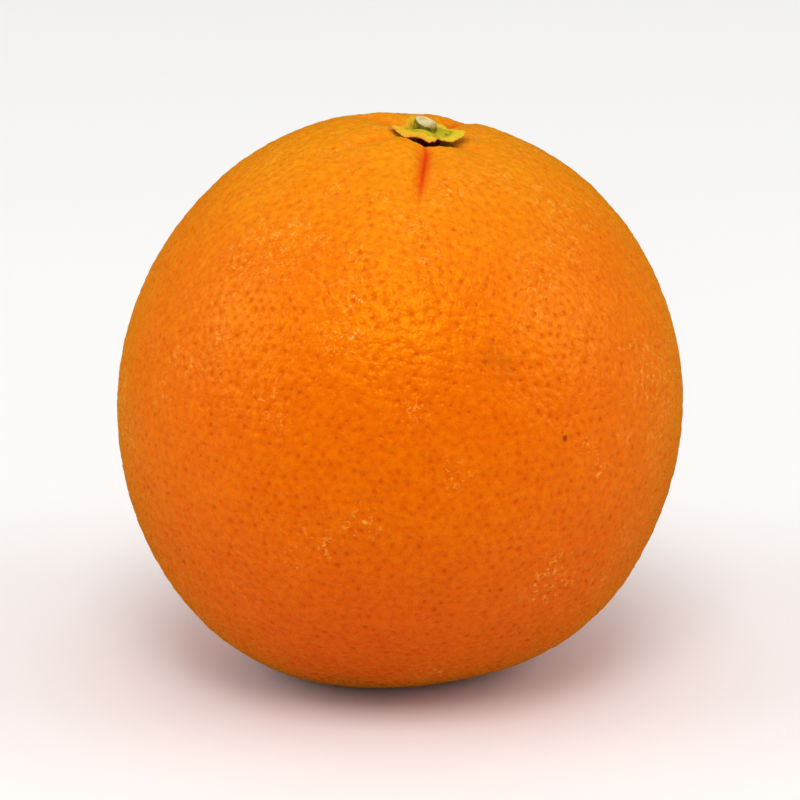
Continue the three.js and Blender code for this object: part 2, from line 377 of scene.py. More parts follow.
# Only the places of the scattered spots are used, so the seedling's own material will do
scatter_tree, scatter_sockets = build_gland_scatter()
seedling = new_piece("gland_seedling", [(0, 0, 0)], [], table_material)
gland_spots = mesh_positions(evaluate_tree(seedling, scatter_tree, {
    scatter_sockets["spacing"]: GLAND_SPACING, scatter_sockets["seed"]: GLAND_SEED,
    scatter_sockets["skin"]: table_material}))
bpy.data.objects.remove(seedling)
glands = gland_spots / np.linalg.norm(gland_spots, axis=1)[:, None]


FURROW_TRACE_FADES = (2.5 * MM, 4.0 * MM)
OFF_EVERY_FURROW = 9.0 * MM
FOLD_SHOWS = 0.06


def furrow_traces(directions):
    """Signed distance to the nearest furrow's line and how red and dark it is painted, partly painted
    shade, near that furrow only.
    """
    nearest = np.full(len(directions), OFF_EVERY_FURROW)
    strongest = np.zeros(len(directions))
    for furrow in FURROWS:
        sideways, strength, _ = along_furrow(furrow, directions)
        near = (np.abs(sideways) < np.abs(nearest)) & (strength > 0)
        nearest = np.where(near, sideways, nearest)
        strongest = np.where(near, strength * furrow["redness_and_shade"], strongest)
    return nearest, strongest * (1 - smooth_step(np.abs(nearest), *FURROW_TRACE_FADES))


def keep_glands(directions):
    """Leaves out glands in the folds of the furrows and under the calyx."""
    sideways, strength = furrow_traces(directions)
    in_fold = (np.abs(sideways) < FURROW_CLEARANCE) & (strength > FOLD_SHOWS)
    return directions[~in_fold & (about_stem(directions)[0] > CALYX_COVER)]


glands = keep_glands(glands)
chance = np.random.default_rng(5)
is_large = chance.random(len(glands)) < LARGE_GLAND_SHARE
gland_radius = np.where(is_large, LARGE_GLAND["radius"], SMALL_GLAND["radius"])
gland_radius = gland_radius * chance.uniform(*GLAND_SIZE_SPREAD, len(glands))
gland_depth = np.where(is_large, LARGE_GLAND["depth"], SMALL_GLAND["depth"])
gland_depth = gland_depth * chance.uniform(*GLAND_DEPTH_SPREAD, len(glands))


def nearest_distances(points, tree, rank):
    """Distance from each point to the rank-th nearest one in a search tree, and which it is."""
    found = [tree.find_n(Vector(point), rank)[-1] for point in points]
    return np.array([hit[2] for hit in found]), np.array([hit[1] for hit in found])


def search_tree(points):
    tree = KDTree(len(points))
    for index, point in enumerate(points):
        tree.insert(Vector(point), index)
    tree.balance()
    return tree


gland_finder = search_tree(glands)
room, _ = nearest_distances(glands, gland_finder, 2)
gland_radius = np.minimum(gland_radius, GLAND_SHARE_OF_ROOM * room * BALL["equator"])


def ring_round(centre, radius, corners, start):
    """Directions of a small ring round a gland's middle."""
    across = np.cross(centre, STEM_SIDE if abs(centre[1]) < 0.9 else STEM_ACROSS)
    across /= np.linalg.norm(across)
    other = np.cross(centre, across)
    turn = start + np.arange(corners) * 2 * math.pi / corners
    spokes = np.outer(np.cos(turn), across) + np.outer(np.sin(turn), other)
    ring = centre + radius / BALL["equator"] * spokes
    return ring / np.linalg.norm(ring, axis=1)[:, None]


COARSE_FILLERS = {"count": 62000, "off_gland": 0.3 * MM}
FINE_FILLERS = {"count": 620000, "off_gland": 0.05 * MM, "beside_furrow": 0.9 * MM, "fold_shows": 0.05,
                "round_stem": 9}


def fillers_between_glands():
    """Directions that fill the peel between the glands, and the furrows and the basin more finely."""
    coarse = even_directions(COARSE_FILLERS["count"])
    distance, nearest = nearest_distances(coarse, gland_finder, 1)
    coarse = coarse[distance * BALL["equator"] > gland_radius[nearest] + COARSE_FILLERS["off_gland"]]
    coarse = coarse[about_stem(coarse)[0] > FINE_FILLERS["round_stem"]]
    fine = even_directions(FINE_FILLERS["count"])
    fine = fine[about_stem(fine)[0] < max(furrow["ends"] for furrow in FURROWS)]
    sideways, strength = furrow_traces(fine)
    in_furrow = np.abs(sideways) < FINE_FILLERS["beside_furrow"]
    in_furrow = in_furrow & (strength > FINE_FILLERS["fold_shows"])
    fine = fine[in_furrow | (about_stem(fine)[0] < FINE_FILLERS["round_stem"])]
    distance, nearest = nearest_distances(fine, gland_finder, 1)
    fine = fine[distance * BALL["equator"] > gland_radius[nearest] + FINE_FILLERS["off_gland"]]
    return np.concatenate([coarse, fine])


SAME_SPOT = 1e-12


def build_peel_mesh():
    """One closed skin of the fruit, with a corner at each gland's middle and a ring round it.

    The peel is laid flat from its resting spot, joined up into triangles, and closed there.
    """
    directions = [glands]
    owners = [np.arange(len(glands))]
    for index, centre in enumerate(glands):
        corners = LARGE_GLAND["corners"] if is_large[index] else SMALL_GLAND["corners"]
        directions.append(ring_round(centre, gland_radius[index], corners, chance.uniform(0, math.pi)))
        owners.append(np.full(corners, index))
    fillers = fillers_between_glands()
    directions = np.concatenate(directions + [fillers])
    owners = np.concatenate(owners + [np.full(len(fillers), -1)])
    laid_flat = [Vector(spot) for spot in directions[:, :2] / (1 + directions[:, 2:3])]
    corners, _, triangles, *_ = delaunay_2d_cdt(laid_flat, [], [], 0, SAME_SPOT, False)
    if len(corners) != len(directions):
        raise RuntimeError("two corners of the peel fell together")
    triangles = np.array(triangles)
    edges = np.concatenate([triangles[:, [0, 1]], triangles[:, [1, 2]], triangles[:, [2, 0]]])
    keys = {tuple(edge) for edge in edges.tolist()}
    rim = [edge for edge in keys if (edge[1], edge[0]) not in keys]
    bottom = len(directions)
    directions = np.concatenate([directions, [(0.0, 0.0, -1.0)]])
    owners = np.append(owners, -1)
    triangles = np.concatenate([triangles, [(b, a, bottom) for a, b in rim]])
    return directions, owners, triangles


peel_directions, gland_of_corner, peel_triangles = build_peel_mesh()
peel_points = surface_at(peel_directions)


def store(mesh, name, domain, values):
    """Keeps a number or a vector on every corner or point of a mesh."""
    values = np.asarray(values, np.float32)
    kind, field = ("FLOAT_VECTOR", "vector") if values.ndim == 2 else ("FLOAT", "value")
    mesh.attributes.new(name, kind, domain).data.foreach_set(field, values.ravel())


def gland_fans(triangles, owners):
    """For each triangle's corners: the place in its gland, 2 outside them all, and the gland's depth."""
    centres = len(glands)
    holds_centre = (triangles < centres).any(axis=1)
    owner = triangles.min(axis=1)
    place = np.zeros((len(triangles), 3, 3))
    place[:, :, 0] = 2.0
    depth = np.zeros((len(triangles), 3))
    for index in np.nonzero(holds_centre)[0]:
        gland = owner[index]
        centre = peel_directions[gland]
        if not all(owners[corner] == gland for corner in triangles[index]):
            continue
        offsets = peel_directions[triangles[index]] - centre
        place[index] = offsets * BALL["equator"] / gland_radius[gland]
        depth[index] = gland_depth[gland]
    return place.reshape(-1, 3), depth.reshape(-1)


# The relief grows from nothing at the resting spot and is weaker close round the calyx
SEAT_EASES = (0.02 * MM, 1.5 * MM)
CALYX_EASES = (4, 8)
RELIEF_BY_CALYX = 0.35
GLAND_AWAY_MOST = 2
peel_mesh = bpy.data.meshes.new("peel")
peel_mesh.from_pydata(peel_points.tolist(), [], peel_triangles.tolist())
peel_mesh.update()
away, nearest = nearest_distances(peel_directions, gland_finder, 1)
away = away * BALL["equator"] / np.where(is_large, LARGE_GLAND["reach"], SMALL_GLAND["reach"])[nearest]
pit_of_corner = gland_depth[nearest] * (1 - smooth_step(away, 0, 1))
side, strength = furrow_traces(peel_directions)
from_stem, _, from_stem_axis = about_stem(peel_directions)
free_of_seat = smooth_step(peel_points[:, 2], *SEAT_EASES)
free_of_calyx = smooth_step(from_stem, *CALYX_EASES)
relief_share = RELIEF_BY_CALYX + (1 - RELIEF_BY_CALYX) * free_of_calyx
store(peel_mesh, "pit", "POINT", pit_of_corner * free_of_seat)
store(peel_mesh, "gland_away", "POINT", np.minimum(away, GLAND_AWAY_MOST))
store(peel_mesh, "relief_share", "POINT", free_of_seat * relief_share)
store(peel_mesh, "furrow_side", "POINT", side / MM)
store(peel_mesh, "furrow_strength", "POINT", strength)
store(peel_mesh, "stem_distance", "POINT", from_stem_axis / MM)
gland_place, gland_share = gland_fans(peel_triangles, gland_of_corner)
store(peel_mesh, "gland_place", "CORNER", gland_place)
store(peel_mesh, "gland_depth", "CORNER", gland_share)


PEEL_RELIEF = {"leather_depth": 0.08 * MM, "leather_size": 1.7 * MM, "swell_depth": 0.04 * MM,
               "swell_size": 8.0 * MM, "pit_depth": 0.22 * MM}


def build_peel_relief():
    """A geometry tree that leathers the peel and sinks the middle of every oil gland."""
    tree = bpy.data.node_groups.new("peel_relief", "GeometryNodeTree")
    group_socket(tree, "Peel", "NodeSocketGeometry")
    sockets = {}
    for name, value in PEEL_RELIEF.items():
        label = name.replace("_", " ").title()
        sockets[name] = group_socket(tree, label, "NodeSocketFloat", value)
    sockets["skin"] = group_socket(tree, "Skin", "NodeSocketMaterial")
    group_socket(tree, "Peel", "NodeSocketGeometry", going_out=True)
    given = add_node(tree, "NodeGroupInput").outputs
    place = add_node(tree, "GeometryNodeInputPosition").outputs[0]
    normal = add_node(tree, "GeometryNodeInputNormal").outputs[0]
    share = add_node(tree, "GeometryNodeInputNamedAttribute", {"Name": "relief_share"},
                     data_type="FLOAT")
    pit = add_node(tree, "GeometryNodeInputNamedAttribute", {"Name": "pit"}, data_type="FLOAT")
    raised = 0.0
    for kind, detail in (("Leather", 1.5), ("Swell", 1.0)):
        size, depth = kind + " Size", kind + " Depth"
        scale = calc(tree, "DIVIDE", 1.0, given[size])
        noise = add_node(tree, "ShaderNodeTexNoise", {"Vector": place, "Scale": scale, "Detail": detail})
        centred = calc(tree, "SUBTRACT", noise.outputs["Fac"], 0.5)
        raised = calc(tree, "MULTIPLY_ADD", centred, calc(tree, "MULTIPLY", given[depth], 4.0), raised)
    raised = calc(tree, "MULTIPLY", raised, share.outputs["Attribute"])
    sunk = calc(tree, "MULTIPLY", pit.outputs["Attribute"], given["Pit Depth"])
    along = add_node(tree, "ShaderNodeVectorMath", {0: normal}, operation="SCALE")
    tree.links.new(calc(tree, "SUBTRACT", raised, sunk), along.inputs["Scale"])
    moved = add_node(tree, "GeometryNodeSetPosition",
                     {"Geometry": given["Peel"], "Offset": along.outputs[0]})
    real = add_node(tree, "GeometryNodeRealizeInstances", {"Geometry": moved.outputs["Geometry"]})
    skinned = add_node(tree, "GeometryNodeSetMaterial",
                       {"Geometry": real.outputs["Geometry"], "Material": given["Skin"]})
    add_node(tree, "NodeGroupOutput", {"Peel": skinned.outputs["Geometry"]})
    return tree, sockets


def fade(tree, value, low, high, to_low=0.0, to_high=1.0):
    """Eases from one value to another while the input runs from low to high."""
    made = add_node(tree, "ShaderNodeMapRange",
                    {"Value": value, "From Min": low, "From Max": high,
                     "To Min": to_low, "To Max": to_high}, interpolation_type="SMOOTHSTEP")
    return made.outputs["Result"]


def blend(tree, share, first, second, way="MIX"):
    """Mixes two colours by a share; returns the colour socket."""
    made = add_node(tree, "ShaderNodeMix", data_type="RGBA", blend_type=way)
    for socket, value in (("Factor_Float", share), ("A_Color", first), ("B_Color", second)):
        target = next(entry for entry in made.inputs if entry.identifier == socket)
        if isinstance(value, bpy.types.NodeSocket):
            tree.links.new(value, target)
        else:
            target.default_value = value
    return next(entry for entry in made.outputs if entry.identifier == "Result_Color")


def noise_of(tree, place, size, detail=2.0, roughness=0.5):
    """A cloudy value about 0.5 whose clouds are about this size."""
    made = add_node(tree, "ShaderNodeTexNoise",
                    {"Vector": place, "Scale": 1 / size, "Detail": detail, "Roughness": roughness})
    return made.outputs["Fac"]


def build_mottle_group():
    """Shared by the peel, the calyx and the stem: living tissue's broad blotches and fine grain."""
    tree = bpy.data.node_groups.new("plant_mottle", "ShaderNodeTree")
    group_socket(tree, "Place", "NodeSocketVector")
    group_socket(tree, "Blotch Size", "NodeSocketFloat", 4.0 * MM)
    group_socket(tree, "Grain Size", "NodeSocketFloat", 0.4 * MM)
    group_socket(tree, "Blotches", "NodeSocketFloat", going_out=True)
    group_socket(tree, "Grain", "NodeSocketFloat", going_out=True)
    given = add_node(tree, "NodeGroupInput").outputs
    results = {}
    for result, size, detail in (("Blotches", "Blotch Size", 3.0), ("Grain", "Grain Size", 2.0)):
        scale = calc(tree, "DIVIDE", 1.0, given[size])
        noise = add_node(tree, "ShaderNodeTexNoise", {"Vector": given["Place"], "Scale": scale,
                         "Detail": detail, "Roughness": 0.55})
        results[result] = fade(tree, noise.outputs["Fac"], 0.3, 0.7)
    add_node(tree, "NodeGroupOutput", results)
    return tree


def build_blemish_group():
    """Shared by the peel and the calyx: one ragged round mark, 1 in its middle and 0 outside it."""
    tree = bpy.data.node_groups.new("blemish", "ShaderNodeTree")
    group_socket(tree, "Place", "NodeSocketVector")
    group_socket(tree, "Middle", "NodeSocketVector")
    group_socket(tree, "Radius", "NodeSocketFloat", 0.5 * MM)
    group_socket(tree, "Softness", "NodeSocketFloat", 0.5)
    group_socket(tree, "Raggedness", "NodeSocketFloat", 0.5)
    group_socket(tree, "Mark", "NodeSocketFloat", going_out=True)
    given = add_node(tree, "NodeGroupInput").outputs
    away = add_node(tree, "ShaderNodeVectorMath", {0: given["Place"], 1: given["Middle"]},
                    operation="DISTANCE").outputs["Value"]
    scale = calc(tree, "DIVIDE", 1.6, given["Radius"])
    noise = add_node(tree, "ShaderNodeTexNoise",
                     {"Vector": given["Place"], "Scale": scale, "Detail": 3.0})
    centred = calc(tree, "SUBTRACT", noise.outputs["Fac"], 0.5)
    wander = calc(tree, "MULTIPLY", centred, given["Raggedness"])
    reach = calc(tree, "MULTIPLY_ADD", wander, 4.0, calc(tree, "DIVIDE", away, given["Radius"]))
    inside = calc(tree, "DIVIDE", calc(tree, "SUBTRACT", 1.0, reach), given["Softness"], clamp=True)
    add_node(tree, "NodeGroupOutput", {"Mark": inside})
    return tree


mottle_group = build_mottle_group()
blemish_group = build_blemish_group()


def mottle(tree, place, blotch_size, grain_size):
    made = add_node(tree, "ShaderNodeGroup", node_tree=mottle_group)
    tree.links.new(place, made.inputs["Place"])
    made.inputs["Blotch Size"].default_value = blotch_size
    made.inputs["Grain Size"].default_value = grain_size
    return made.outputs["Blotches"], made.outputs["Grain"]


def blemish(tree, place, middle, radius, softness, raggedness):
    made = add_node(tree, "ShaderNodeGroup", node_tree=blemish_group)
    tree.links.new(place, made.inputs["Place"])
    made.inputs["Middle"].default_value = [float(value) for value in middle]
    made.inputs["Radius"].default_value = radius
    made.inputs["Softness"].default_value = softness
    made.inputs["Raggedness"].default_value = raggedness
    return made.outputs["Mark"]


def kept(tree, name):
    """The value kept on the mesh under this name."""
    return add_node(tree, "ShaderNodeAttribute", attribute_name=name).outputs


# The peel's colour at heights in millimetres from the resting spot to the top: its own golden-to-red
# drift, plus painted light at the top and painted shade towards the bottom
PEEL_COLOURS_AND_PAINTED_SHADING = [
    (1.0, (0.48, 0.016, 0.0004)),
    (5.0, (0.70, 0.044, 0.0005)),
    (10.0, (0.76, 0.076, 0.0006)),
    (20.0, (0.82, 0.106, 0.0006)),
    (35.0, (0.88, 0.158, 0.0006)),
    (50.0, (0.90, 0.170, 0.0006)),
    (64.0, (0.94, 0.212, 0.0008)),
    (77.0, (0.99, 0.350, 0.0010)),
]
PEEL_BLEMISHES = [
    {"what": "brown spot", "polar": 82.6, "azimuth": 303.5, "radius": 0.5 * MM,
     "softness": 0.5, "raggedness": 0.5, "colour": (0.26, 0.025, 0.001, 1), "share": 0.9},
    {"what": "its small neighbour", "polar": 81.4, "azimuth": 303.0, "radius": 0.25 * MM,
     "softness": 0.5, "raggedness": 0.5, "colour": (0.36, 0.04, 0.001, 1), "share": 0.7},
    {"what": "tan patch", "polar": 66, "azimuth": 291, "radius": 2.4 * MM,
     "softness": 0.9, "raggedness": 0.9, "colour": (0.50, 0.09, 0.002, 1), "share": 0.5},
    {"what": "low brown spot", "polar": 130, "azimuth": 308, "radius": 0.5 * MM,
     "softness": 0.6, "raggedness": 0.5, "colour": (0.33, 0.035, 0.001, 1), "share": 0.7},
    {"what": "red patch on the left", "polar": 48.5, "azimuth": 231, "radius": 3.5 * MM,
     "softness": 1.0, "raggedness": 0.5, "colour": (0.80, 0.12, 0.001, 1), "share": 0.5},
    {"what": "red patch on the right", "polar": 73, "azimuth": 313, "radius": 3.0 * MM,
     "softness": 1.0, "raggedness": 0.5, "colour": (0.80, 0.12, 0.001, 1), "share": 0.45},
]
# Colours laid over the golden orange: darker round each gland and in its dot, paler scuffs that are
# partly painted glints, redder and darker in the furrows, partly painted shade, and a painted shadow in
# the pit under the calyx
PEEL_TINTS = {
    "blotch": (0.93, 0.66, 0.9, 1), "grain": (0.92, 0.75, 0.9, 1), "round a gland": (0.95, 0.84, 0.8, 1),
    "gland dot": (0.82, 0.46, 0.5, 1), "fuzz": (0.92, 0.72, 0.8, 1), "scuff_and_glint": (1.0, 0.48, 0.07, 1),
    "furrow red and painted shade": (0.90, 0.26, 0.4, 1), "painted furrow crease shade": (0.78, 0.035, 0.0005, 1),
    "painted pit shadow": (0.075, 0.005, 0.0004, 1),
}
PEEL_SPECULAR_TINT = (1.0, 0.9, 0.02, 1.0)
PEEL_SHEEN_TINT = (1.0, 0.6, 0.02, 1.0)
PEEL_ROUGHNESS = (0.22, 0.34)
# How high each kind of fine relief stands in the skin, in millimetres
PEEL_BUMPS = {"gland": 0.08, "leather": 0.26, "grain": 0.006, "scuff_and_glint": 0.02}
# Where leaves and twigs have rubbed pale scuffs, which also serve as painted glints on the glands' rims:
# polar angle, azimuth and radius of each patch
SCUFF_AND_GLINT_PATCHES = [
    (46, 230, 14 * MM), (38, 330, 12 * MM), (82, 334, 12 * MM), (112, 303, 7 * MM),
    (88, 195, 9 * MM), (60, 95, 13 * MM), (105, 60, 10 * MM), (75, 150, 9 * MM),
]
# The scuffs, partly painted glints, are bent hairlines: how far they are bent, the sizes of their nets
# and rings, how much a rubbed patch adds to them and where they begin and are full
SCUFF_AND_GLINT_LINES = {"bend": 1.2 * MM, "bend_size": 1.0 * MM, "net": 1.1 * MM, "rings": 1.5 * MM,
          "ring_radius": 0.36, "patch_adds": 0.29, "begin": 0.545, "full": 0.75}
# Short grey-yellow dashes of an old scratch: polar angle and azimuth of each
SCRATCH_DASHES = [
    (52.3, 258.6), (52.7, 259.3), (53.1, 260.1), (53.4, 260.8), (54.4, 258.2), (55.2, 258.9),
    (59.2, 260.5), (59.9, 260.1), (60.6, 259.6), (61.0, 259.2), (60.7, 257.0),
]
SCRATCH = {"radius": 0.2 * MM, "softness": 0.5, "raggedness": 0.6, "colour": (0.80, 0.48, 0.15, 1),
           "share": 0.75}


def spot_on_peel(polar, azimuth):
    return surface_at(direction_at(polar, azimuth)[None, :])[0]


def build_peel_material():
    """Golden orange above, redder below, partly painted light at the top and painted shade at the
    bottom; darker gland dots, pale scuffs partly painted as glints, red furrows partly painted shade,
    and a painted shadow under the calyx.
    """
    material, tree = new_material("orange_peel")
    place = add_node(tree, "ShaderNodeTexCoord").outputs["Object"]
    height = add_node(tree, "ShaderNodeSeparateXYZ", {"Vector": place}).outputs["Z"]
    blotches, grain = mottle(tree, place, 4.5 * MM, 0.35 * MM)
    broad = noise_of(tree, place, 24 * MM)

    # The height ramp holds painted light and shade along with the peel's own colour: lighter and
    # yellower at the top, darker towards the bottom
    wandering = calc(tree, "MULTIPLY_ADD", calc(tree, "SUBTRACT", broad, 0.5), 16 * MM, height)
    top = PEEL_COLOURS_AND_PAINTED_SHADING[-1][0]
    up_peel = calc(tree, "DIVIDE", wandering, top * MM, clamp=True)
    ramp = add_node(tree, "ShaderNodeValToRGB", {"Fac": up_peel})
    stops = ramp.color_ramp.elements
    while len(stops) < len(PEEL_COLOURS_AND_PAINTED_SHADING):
        stops.new(0.5)
    for stop, (at, colour) in zip(stops, PEEL_COLOURS_AND_PAINTED_SHADING):
        stop.position = at / top
        stop.color = (*colour, 1.0)
    colour = ramp.outputs["Color"]
    blotched = calc(tree, "MULTIPLY", blotches, 0.3)
    colour = blend(tree, blotched, colour, PEEL_TINTS["blotch"], "MULTIPLY")
    grained = calc(tree, "MULTIPLY", grain, 0.10)
    colour = blend(tree, grained, colour, PEEL_TINTS["grain"], "MULTIPLY")

    in_gland = add_node(tree, "ShaderNodeVectorMath", {0: kept(tree, "gland_place")["Vector"]},
                        operation="LENGTH").outputs["Value"]
    gland_share = kept(tree, "gland_depth")["Fac"]
    dot = calc(tree, "MULTIPLY", fade(tree, in_gland, 0.15, 0.95, 1.0, 0.0), gland_share)
    from_axis = kept(tree, "stem_distance")["Fac"]
    showing = calc(tree, "MULTIPLY", fade(tree, blotches, 0.0, 1.0, 0.25, 0.7),
                   fade(tree, from_axis, 5.0, 15.0, 0.25, 1.0))
    dot_share = calc(tree, "MULTIPLY", dot, showing, clamp=True)
    between = fade(tree, kept(tree, "gland_away")["Fac"], 0.3, 1.3)
    near_gland = blend(tree, 1.0, colour, PEEL_TINTS["round a gland"], "MULTIPLY")
    colour = blend(tree, between, near_gland, colour)
    colour = blend(tree, dot_share, colour, PEEL_TINTS["gland dot"], "MULTIPLY")
    fuzz = fade(tree, noise_of(tree, place, 0.8 * MM, 3.0, 0.65), 0.34, 0.66)
    colour = blend(tree, calc(tree, "MULTIPLY", fuzz, 0.8), colour, PEEL_TINTS["fuzz"], "MULTIPLY")

    crumpled = add_node(tree, "ShaderNodeTexNoise",
                        {"Vector": place, "Scale": 1 / SCUFF_AND_GLINT_LINES["bend_size"], "Detail": 2.0})
    shift = add_node(tree, "ShaderNodeVectorMath", {0: crumpled.outputs["Color"], 1: (0.5, 0.5, 0.5)},
                     operation="SUBTRACT")
    shift = add_node(tree, "ShaderNodeVectorMath", {0: shift.outputs[0], "Scale": SCUFF_AND_GLINT_LINES["bend"]},
                     operation="SCALE")
    bent = add_node(tree, "ShaderNodeVectorMath", {0: place, 1: shift.outputs[0]}).outputs[0]
    cells = add_node(tree, "ShaderNodeTexVoronoi", {"Vector": bent, "Scale": 1 / SCUFF_AND_GLINT_LINES["net"]},
                     feature="DISTANCE_TO_EDGE")
    rings = add_node(tree, "ShaderNodeTexVoronoi", {"Vector": bent, "Scale": 1 / SCUFF_AND_GLINT_LINES["rings"]},
                     feature="F1")
    on_edge = fade(tree, cells.outputs["Distance"], 0.0, 0.10, 1.0, 0.0)
    off_ring = calc(tree, "SUBTRACT", rings.outputs["Distance"], SCUFF_AND_GLINT_LINES["ring_radius"])
    off_ring = calc(tree, "ABSOLUTE", off_ring)
    on_ring = fade(tree, off_ring, 0.0, 0.065, 1.0, 0.0)
    gaps = fade(tree, noise_of(tree, place, 0.9 * MM, 1.0), 0.52, 0.62)
    other_gaps = fade(tree, noise_of(tree, bent, 1.1 * MM, 1.0), 0.50, 0.60)
    hairlines = calc(tree, "MAXIMUM", calc(tree, "MULTIPLY", on_edge, gaps),
                     calc(tree, "MULTIPLY", on_ring, other_gaps))
    # The pale hairlines are partly scuffs and partly painted glints on the glands' rims, more of them
    # towards the top
    scuff_and_glint_patch_mask = fade(tree, height, 60 * MM, 74 * MM, 0.0, 0.5)
    for polar, azimuth, radius in SCUFF_AND_GLINT_PATCHES:
        patch = blemish(tree, place, spot_on_peel(polar, azimuth), radius, 0.9, 0.3)
        scuff_and_glint_patch_mask = calc(tree, "MAXIMUM", scuff_and_glint_patch_mask, patch)
    likely = calc(tree, "MULTIPLY_ADD", scuff_and_glint_patch_mask, SCUFF_AND_GLINT_LINES["patch_adds"], noise_of(tree, place, 9 * MM))
    scuff_and_glint_cover = fade(tree, likely, SCUFF_AND_GLINT_LINES["begin"], SCUFF_AND_GLINT_LINES["full"])
    scuff_and_glint = calc(tree, "MULTIPLY", hairlines, scuff_and_glint_cover)
    scuff_and_glint_share = calc(tree, "MULTIPLY", scuff_and_glint, fade(tree, from_axis, 8.0, 22.0, 0.75, 0.62))
    # Pale scuffs and painted glints laid over the colour
    colour = blend(tree, scuff_and_glint_share, colour, PEEL_TINTS["scuff_and_glint"])

    # Painted shade in the furrows: a red flush beside each fold, partly the peel's own redness, and a
    # dark red line of painted shade along its crease
    side = kept(tree, "furrow_side")["Fac"]
    furrow = kept(tree, "furrow_strength")["Fac"]
    aside = calc(tree, "ABSOLUTE", side)
    furrow_red_and_shade = calc(tree, "MULTIPLY", fade(tree, aside, 0.1, 1.6, 1.0, 0.0),
                 calc(tree, "MULTIPLY", furrow, 1.3))
    furrow_red_and_shade = calc(tree, "MULTIPLY", furrow_red_and_shade, 0.75, clamp=True)
    colour = blend(tree, furrow_red_and_shade, colour, PEEL_TINTS["furrow red and painted shade"], "MULTIPLY")
    painted_crease_shade = calc(tree, "MULTIPLY", fade(tree, aside, 0.05, 0.5, 1.0, 0.0),
                 calc(tree, "MULTIPLY", furrow, 1.5))
    painted_crease_shade = calc(tree, "MULTIPLY", painted_crease_shade, 0.8, clamp=True)
    colour = blend(tree, painted_crease_shade, colour, PEEL_TINTS["painted furrow crease shade"])

    # Painted shadow of the calyx: the peel close round the stem darkens to deep brown, with a ragged
    # edge
    ragged = calc(tree, "SUBTRACT", noise_of(tree, place, 1.5 * MM), 0.5)
    ragged = calc(tree, "MULTIPLY_ADD", ragged, 2.2, from_axis)
    shade = fade(tree, ragged, 2.8, 4.3, 1.0, 0.0)
    colour = blend(tree, calc(tree, "MULTIPLY", shade, 0.92), colour, PEEL_TINTS["painted pit shadow"])

    for mark in PEEL_BLEMISHES:
        middle = spot_on_peel(mark["polar"], mark["azimuth"])
        spot = blemish(tree, place, middle, mark["radius"], mark["softness"], mark["raggedness"])
        colour = blend(tree, calc(tree, "MULTIPLY", spot, mark["share"]), colour, mark["colour"])

    for polar, azimuth in SCRATCH_DASHES:
        dash = blemish(tree, place, spot_on_peel(polar, azimuth), SCRATCH["radius"],
                       SCRATCH["softness"], SCRATCH["raggedness"])
        colour = blend(tree, calc(tree, "MULTIPLY", dash, SCRATCH["share"]), colour, SCRATCH["colour"])

    rough = fade(tree, grain, 0.0, 1.0, *PEEL_ROUGHNESS)
    pitted = calc(tree, "MULTIPLY", fade(tree, in_gland, 0.0, 0.86, -1.0, 0.0), gland_share)
    leather = noise_of(tree, place, 0.9 * MM)
    raised = calc(tree, "MULTIPLY", pitted, PEEL_BUMPS["gland"])
    raised = calc(tree, "MULTIPLY_ADD", leather, PEEL_BUMPS["leather"], raised)
    raised = calc(tree, "MULTIPLY_ADD", grain, PEEL_BUMPS["grain"], raised)
    raised = calc(tree, "MULTIPLY_ADD", scuff_and_glint, PEEL_BUMPS["scuff_and_glint"], raised)
    raised = calc(tree, "MULTIPLY", raised, fade(tree, from_axis, 6.0, 18.0, 0.3, 1.0))
    bump = add_node(tree, "ShaderNodeBump", {"Height": raised, "Distance": MM, "Strength": 1.0})
    finish_material(tree, Base_Color=colour, Roughness=rough, Normal=bump.outputs["Normal"],
                    Specular_IOR_Level=0.5, Specular_Tint=PEEL_SPECULAR_TINT,
                    Sheen_Weight=0.42, Sheen_Tint=PEEL_SHEEN_TINT)
    return material


peel_material = build_peel_material()
peel_blank = bpy.data.objects.new("peel_blank", peel_mesh)
scene.collection.objects.link(peel_blank)
relief_tree, relief_sockets = build_peel_relief()
relief_inputs = {relief_sockets[name]: value for name, value in PEEL_RELIEF.items()}
relief_inputs[relief_sockets["skin"]] = peel_material
leathery = evaluate_tree(peel_blank, relief_tree, relief_inputs)
bpy.data.objects.remove(peel_blank)
leathery.name = "peel"
leathery.shade_smooth()
peel = bpy.data.objects.new("peel", leathery)
scene.collection.objects.link(peel)
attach(peel, "root")
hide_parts("fruit")

# ---------------------------------------------------------------- The calyx
# The withered green-gold star the fruit hung from: a leathery disc with five uneven
# lobes, its foot grown into the bottom of the stem basin.

CALYX = {"gap": 0.1 * MM, "foot": 1.2 * MM, "neck": 1.48 * MM, "thick": 0.85 * MM,
         "collar": 1.9 * MM, "edge": 0.2 * MM, "undercut": 0.04 * MM}
# Round the star: azimuth about the stem, how far out its edge reaches and how high the
# edge stands above the disc, in millimetres
CALYX_RIM = [
    (5, 4.85, 0.25), (22, 4.1, 0.05), (38, 3.1, -0.1), (62, 3.7, 0.25), (95, 2.8, 0.4),
    (112, 3.2, 1.1), (130, 3.4, 1.5), (148, 3.4, 1.15), (163, 3.5, 0.7), (171, 3.4, 0.1),
    (179, 4.6, 0.0), (184, 5.5, 0.4), (189, 5.1, 0.15), (198, 4.9, -0.1), (208, 4.6, -0.35),
    (219, 4.6, -0.5), (232, 3.9, -0.42), (244, 3.2, -0.4), (253, 3.2, -0.5), (263, 3.8, -0.6),
    (272, 4.1, -0.6), (281, 3.6, -0.6), (294, 2.8, -0.3), (303, 3.2, -0.5), (312, 3.95, -0.6),
    (321, 4.25, -0.5), (333, 4.45, -0.3), (348, 4.7, 0.0),
]
